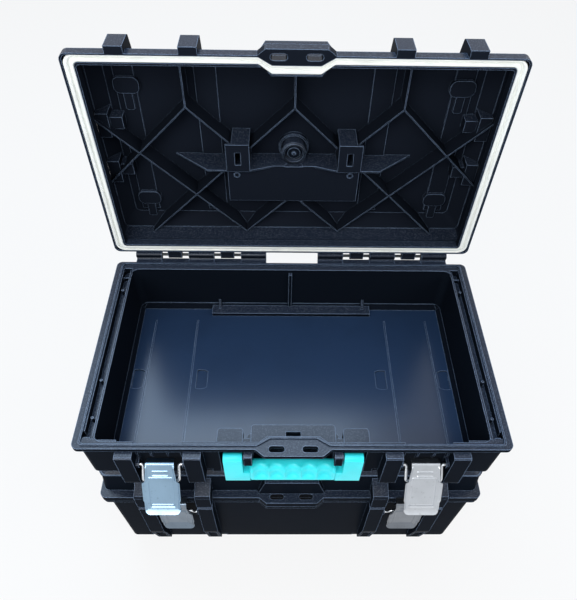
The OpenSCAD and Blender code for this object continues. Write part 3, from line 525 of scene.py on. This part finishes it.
shape = bmesh.new()
grip_length = grip_high.x - grip_low.x
skin_rings(
    shape, [grip_ring(grip_low.x + grip_length * i / GRIP_STEPS) for i in range(GRIP_STEPS + 1)]
)
new_piece("handle_grip", shape, handle, "upper_handle_grip", 50)


# ---- Latches ------------------------------------------------------------------------
# Plates pressed from bright-plated steel sheet on bails bent from steel wire. A plate
# is one strip: a hook at the top, a pressed panel with rolled sides, and a flared lip.
PLATE_THICK = 0.0014
PLATE_OUT = 0.0038             # the sheet's middle stands in front of the wire's axis
HOOK_TOP = 0.0292
HOOK_TIP = 0.0066
HOOK_BEND = 0.0026
LIP_START = -0.041
LIP_END = -0.0498
LIP_FLARE = 0.0036
LIP_CORNER = 0.006
CURL_RADIUS = 0.0036
CURL_THICK = 0.0012
HOOK_HALF_WIDTH = 0.0175
NECK_HALF_WIDTH = 0.0180       # at the plate's top, and what each step down adds to it
SHOULDER = 0.0018
SIDE_WINGS = 0.0042
FOOT_INSET = 0.0012
ROLLED_SIDE = 0.0019           # how far each pressed form stands out
BORDER_OUT = 0.0008
RIDGE_OUT = 0.0010
GROOVE_IN = 0.0012
RIDGE_LEVELS = (0.0105, 0.0172)
GROOVE_LEVEL = -0.0385
BORDER_HALF_WIDTH = 0.0135
BORDER_LOW = -0.0340
BORDER_HIGH = 0.0060
BORDER_CORNER = 0.0016
PLATE_COLUMNS = 72
PLATE_ROW = 0.0007


def steel_finish(name, roughness, colour):
    """Drawn or rolled steel, with fine lines along it and a few dull spots."""
    material, tree, shader, place = new_finish(name)
    stretched = add_node(tree, "ShaderNodeMapping", Vector=place, Scale=(1.0, 0.05, 0.05))
    lines = noise(tree, stretched, 900, 3)
    cloud = noise(tree, place, 35, 4)
    worn = noise(tree, place, 260, 3).smooth(0.62, 0.72)
    base = mix_colours(tree, cloud.smooth(0.3, 0.8), colour, [0.82 * c for c in colour])
    base = mix_colours(tree, 0.35 * worn, base, [0.45 * c for c in colour])
    set_shader(
        tree, shader,
        Base_Color=base,
        Metallic=1.0,
        Roughness=roughness + 0.16 * cloud + 0.08 * lines,
        Normal=add_node(tree, "ShaderNodeBump", Strength=0.15, Distance=0.00005, Height=lines),
    )
    return material


def plate_path():
    """The strip's middle line from hook to lip: places behind and above the wire's axis."""
    rows = int((HOOK_TIP + PLATE_OUT - HOOK_BEND) / PLATE_ROW)
    path = [(HOOK_TIP - i * PLATE_ROW, HOOK_TOP) for i in range(rows)]
    bend_y = HOOK_BEND - PLATE_OUT
    bend_z = HOOK_TOP - HOOK_BEND
    for step in range(7):
        turn = radians(90 + 15 * step)
        path.append((bend_y + HOOK_BEND * cos(turn), bend_z + HOOK_BEND * sin(turn)))
    rows = int((bend_z - LIP_START) / PLATE_ROW)
    path += [(-PLATE_OUT, bend_z - (i + 1) * PLATE_ROW) for i in range(rows)]
    lip_rows = 14
    for i in range(1, lip_rows + 1):
        share = i / lip_rows
        path.append((-PLATE_OUT - LIP_FLARE * share ** 1.6, LIP_START + (LIP_END - LIP_START) * share))
    return path


def plate_half_width(z):
    width = NECK_HALF_WIDTH + SHOULDER * ease(-z, -0.024, -0.004)
    width += SIDE_WINGS * ease(-z, -0.0035, 0.0005)
    width -= FOOT_INSET * ease(-z, 0.027, 0.031)
    past = min(max(0, (LIP_END + LIP_CORNER) - z), LIP_CORNER)
    return width - (LIP_CORNER - (LIP_CORNER ** 2 - past ** 2) ** 0.5)


def hump(away, width):
    """1 where away is 0, and falling off smoothly to both sides."""
    return exp(-((away / width) ** 2))


def plate_relief(x, z, half_width):
    """How far the pressing stands out of the sheet's middle at a place."""
    side = half_width - abs(x)
    on_panel = ease(z, -0.0445, -0.041) * (1 - ease(z, 0.0235, 0.0265))
    rolled = ROLLED_SIDE * (1 - ease(side, 0.0006, 0.0030)) * on_panel
    past_x = abs(x) - BORDER_HALF_WIDTH
    past_z = max(BORDER_LOW - z, z - BORDER_HIGH)
    away = hypot(max(past_x, 0), max(past_z, 0)) + min(max(past_x, past_z), 0) - BORDER_CORNER
    border = BORDER_OUT * hump(away, 0.0008)
    ridge_end = 1 - ease(abs(x), 0.009, 0.0115)
    ridges = sum(RIDGE_OUT * hump(z - level, 0.0009) * ridge_end for level in RIDGE_LEVELS)
    groove = GROOVE_IN * hump(z - GROOVE_LEVEL, 0.0016) * (1 - ease(abs(x), 0.014, 0.018))
    return rolled + border + ridges - groove


def plate_shape():
    """The pressed strip and its curl round the wire, about the wire's axis."""
    shape = bmesh.new()
    path = plate_path()
    rings = []
    for i, (y, z) in enumerate(path):
        before = Vector(path[max(i - 1, 0)])
        after = Vector(path[min(i + 1, len(path) - 1)])
        run = (after - before).normalized()
        out = Vector((run.y, -run.x))          # the strip's outer side
        half_width = plate_half_width(z) if y < 0 or z < HOOK_TOP - 0.001 else HOOK_HALF_WIDTH
        outer, inner = [], []
        for column in range(PLATE_COLUMNS + 1):
            x = half_width * (2 * column / PLATE_COLUMNS - 1)
            lift = plate_relief(x, z, half_width) if y < -0.002 else 0
            for side, points in ((1, outer), (-1, inner)):
                offset = lift + side * PLATE_THICK / 2
                points.append((x, y + out.x * offset, z + out.y * offset))
        rings.append(outer + inner[::-1])
    skin_rings(shape, rings)
    inside = CURL_RADIUS - CURL_THICK
    corners = (
        (-HOOK_HALF_WIDTH, CURL_RADIUS), (HOOK_HALF_WIDTH, CURL_RADIUS),
        (HOOK_HALF_WIDTH, inside), (-HOOK_HALF_WIDTH, inside),
    )
    turns = [radians(205 - 12.0 * step) for step in range(25)]
    skin_rings(
        shape, [[(x, radius * cos(turn), radius * sin(turn)) for x, radius in corners] for turn in turns]
    )
    return shape


# The bail is one round wire: a bar inside the plate's curl, an arm at each end of it,
# and feet that turn out into the pillars.
WIRE_RADIUS = 0.0020
WIRE_BEND = 0.0030
ARM_HALF = 0.0228
FOOT_HALF = 0.0351


def wire_tree():
    """A node tree that bends a round wire along a path of straight edges."""
    tree = bpy.data.node_groups.new("bent_wire", "GeometryNodeTree")
    kinds = {"Path": "Geometry", "Wire Radius": "Float", "Bend Radius": "Float", "Steel": "Material"}
    for name, kind in kinds.items():
        tree.interface.new_socket(name, in_out="INPUT", socket_type="NodeSocket" + kind)
    tree.interface.new_socket("Wire", in_out="OUTPUT", socket_type="NodeSocketGeometry")
    given = {socket.name: Socket(tree, socket) for socket in tree.nodes.new("NodeGroupInput").outputs}
    path = add_node(tree, "GeometryNodeMeshToCurve", Mesh=given["Path"])
    bent = add_node(
        tree, "GeometryNodeFilletCurve", {"mode": "POLY"},
        Curve=path, Count=10, Radius=given["Bend Radius"], Limit_Radius=True,
    )
    section = add_node(
        tree, "GeometryNodeCurvePrimitiveCircle", Resolution=28, Radius=given["Wire Radius"]
    )
    wire = add_node(
        tree, "GeometryNodeCurveToMesh", Curve=bent, Profile_Curve=section, Fill_Caps=True
    )
    real = add_node(tree, "GeometryNodeRealizeInstances", Geometry=wire)
    steel = add_node(tree, "GeometryNodeSetMaterial", Geometry=real, Material=given["Steel"])
    feed(tree, tree.nodes.new("NodeGroupOutput").inputs[0], steel)
    return tree


def bail_wire(node, bar, feet, tree, steel):
    """A bail from the place of its bar's middle and of the middle between its feet."""
    arm = feet - bar
    turned = Matrix.Translation(bar) @ Matrix.Rotation(arm.yz.angle_signed(Vector((1, 0))), 4, "X")
    bends = [
        (-FOOT_HALF, arm.length), (-ARM_HALF, arm.length), (-ARM_HALF, 0),
        (ARM_HALF, 0), (ARM_HALF, arm.length), (FOOT_HALF, arm.length),
    ]
    path = bpy.data.meshes.new(node)
    path.from_pydata(
        [turned @ Vector((x, y, 0)) for x, y in bends],
        [(i, i + 1) for i in range(len(bends) - 1)],
        [],
    )
    piece = link_object(node + "_wire", path)
    bending = piece.modifiers.new("bending", "NODES")
    bending.node_group = tree
    sizes = {"Wire Radius": WIRE_RADIUS, "Bend Radius": WIRE_BEND, "Steel": steel}
    for item in tree.interface.items_tree:
        if item.name in sizes:
            bending[item.identifier] = sizes[item.name]
    apply_modifiers(piece)
    stand_for(node, piece, steel, 40)


# A plate leans out as its bail swings from the hold to where it hangs. Its colour is a
# painted reflection of what it mirrors: sky on the left, the pale floor on the right, the
# dark shell below.
HANGING_LEAN = 28
HANGING_SWING = 133
LOWER_SWING = 10.5
PLATE_LEAN = {
    "lower": radians(HANGING_LEAN * LOWER_SWING / HANGING_SWING),
    "upper": radians(HANGING_LEAN),
}
PLATING_AND_REFLECTION = {
    "lower_left": (0.19, 0.24, 0.30),
    "lower_right": (0.20, 0.22, 0.25),
    "upper_left": (0.29, 0.43, 0.57),
    "upper_right": (0.55, 0.58, 0.62),
}
WIRE_COLOUR = (0.62, 0.65, 0.69)
wire_steel = steel_finish("wire_steel", 0.16, WIRE_COLOUR)
bent_wire = wire_tree()
for case in ("lower", "upper"):
    for side in ("left", "right"):
        latch = f"{case}_latch_{side}"
        axis = Vector(HINGES[latch + "_plate_hinge"]["pos_m"])
        feet = Vector(HINGES[latch + "_bail_hinge"]["pos_m"])
        shape = plate_shape()
        shape.transform(Matrix.Translation(axis) @ Matrix.Rotation(-PLATE_LEAN[case], 4, "X"))
        steel = steel_finish(f"{latch}_steel", 0.20, PLATING_AND_REFLECTION[f"{case}_{side}"])
        new_piece(latch + "_plate_pressing", shape, steel, latch + "_plate", 35)
        bail_wire(latch + "_bail", axis, feet, bent_wire, wire_steel)


# ---- Pins ---------------------------------------------------------------------------
# Drawn steel rod, cut square, pressed in the tub's knuckles and ears.
PIN_COLOUR = (0.060, 0.065, 0.070)
pin_steel = steel_finish("pin_steel", 0.45, PIN_COLOUR)
give_finish(pin_steel, *[name for name in frame["nodes"] if "_pin_" in name])


# ---- Stacking clips ------------------------------------------------------------------
# Black levers on the sides that hook the case below.
clip_black = shell_finish("clip_moulding", coat=0.3, roughness=0.28)
for case in ("lower", "upper"):
    for side in ("left", "right"):
        rounded_piece(f"{case}_clip_{side}", clip_black, SMALL_EDGE)


# ---- Floor, backdrop and light ---------------------------------------------------------
# A white sweep that shows as white and still takes the object's soft shadow. A broad
# cool light hangs above and behind, so that its reflection lies on the faces that look up.
FLOOR_HALF = 6.0
FLOOR_LEVEL = min(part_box("lower_tub")[0].z, 0) - 0.0002
SHADOW_SHARE = 0.12
BACKGROUND = 0.957
SKY_COLOUR = (0.80, 0.89, 1.0)
MIDDLE = Vector((0, 0, 0.3))

floor_mesh = bpy.data.meshes.new("floor")
floor_corners = ((-1, -1), (1, -1), (1, 1), (-1, 1))
floor_mesh.from_pydata(
    [(FLOOR_HALF * x, FLOOR_HALF * y, FLOOR_LEVEL) for x, y in floor_corners], [], [(0, 1, 2, 3)]
)
floor = link_object("floor", floor_mesh)
floor_finish = bpy.data.materials.new("floor_white")
floor_finish.use_nodes = True
tree = floor_finish.node_tree
tree.nodes.clear()
output = tree.nodes.new("ShaderNodeOutputMaterial")
matt = add_node(tree, "ShaderNodeBsdfDiffuse", Color=(0.86, 0.86, 0.86))
white = add_node(tree, "ShaderNodeEmission", Color=(BACKGROUND,) * 3, Strength=1.0)
camera_ray = add_node(tree, "ShaderNodeLightPath", out="Is Camera Ray")
glossy_ray = add_node(tree, "ShaderNodeLightPath", out="Is Glossy Ray")
seen = camera_ray.larger(glossy_ray)
mixed = tree.nodes.new("ShaderNodeMixShader")
feed(tree, mixed.inputs[0], seen * (1 - SHADOW_SHARE))
feed(tree, mixed.inputs[1], matt)
feed(tree, mixed.inputs[2], white)
tree.links.new(mixed.outputs[0], output.inputs[0])
floor_mesh.materials.append(floor_finish)

world = bpy.data.worlds.new("studio")
bpy.context.scene.world = world
world.use_nodes = True
tree = world.node_tree
tree.nodes.clear()
output = tree.nodes.new("ShaderNodeOutputWorld")
background = tree.nodes.new("ShaderNodeBackground")
tree.links.new(background.outputs[0], output.inputs[0])
camera_ray = add_node(tree, "ShaderNodeLightPath", out="Is Camera Ray")
glossy_ray = add_node(tree, "ShaderNodeLightPath", out="Is Glossy Ray")
passing_ray = add_node(tree, "ShaderNodeLightPath", out="Is Transmission Ray")
seen = camera_ray.larger(glossy_ray).larger(passing_ray)
feed(tree, background.inputs[0], mix_colours(tree, seen, SKY_COLOUR, (BACKGROUND,) * 3))
feed(tree, background.inputs[1], 0.5 + 0.5 * seen)


def add_lamp(name, place, size, power, colour=(1, 1, 1)):
    """A round lamp aimed at the middle of the two cases."""
    data = bpy.data.lights.new(name, "AREA")
    data.shape = "DISK"
    data.size = size
    data.energy = power
    data.color = colour
    lamp = link_object(name, data)
    lamp.location = place
    lamp.rotation_euler = (MIDDLE - lamp.location).to_track_quat("-Z", "Y").to_euler()


add_lamp("top", (-0.35, 0.75, 2.5), 1.7, 34, (0.58, 0.78, 1.0))
add_lamp("window", (-0.25, -1.25, 2.1), 0.6, 10, (0.90, 0.96, 1.0))
add_lamp("front", (-1.0, -1.7, 1.6), 1.8, 26)
add_lamp("right", (1.7, -0.8, 1.5), 1.4, 13, (0.98, 0.98, 1.0))
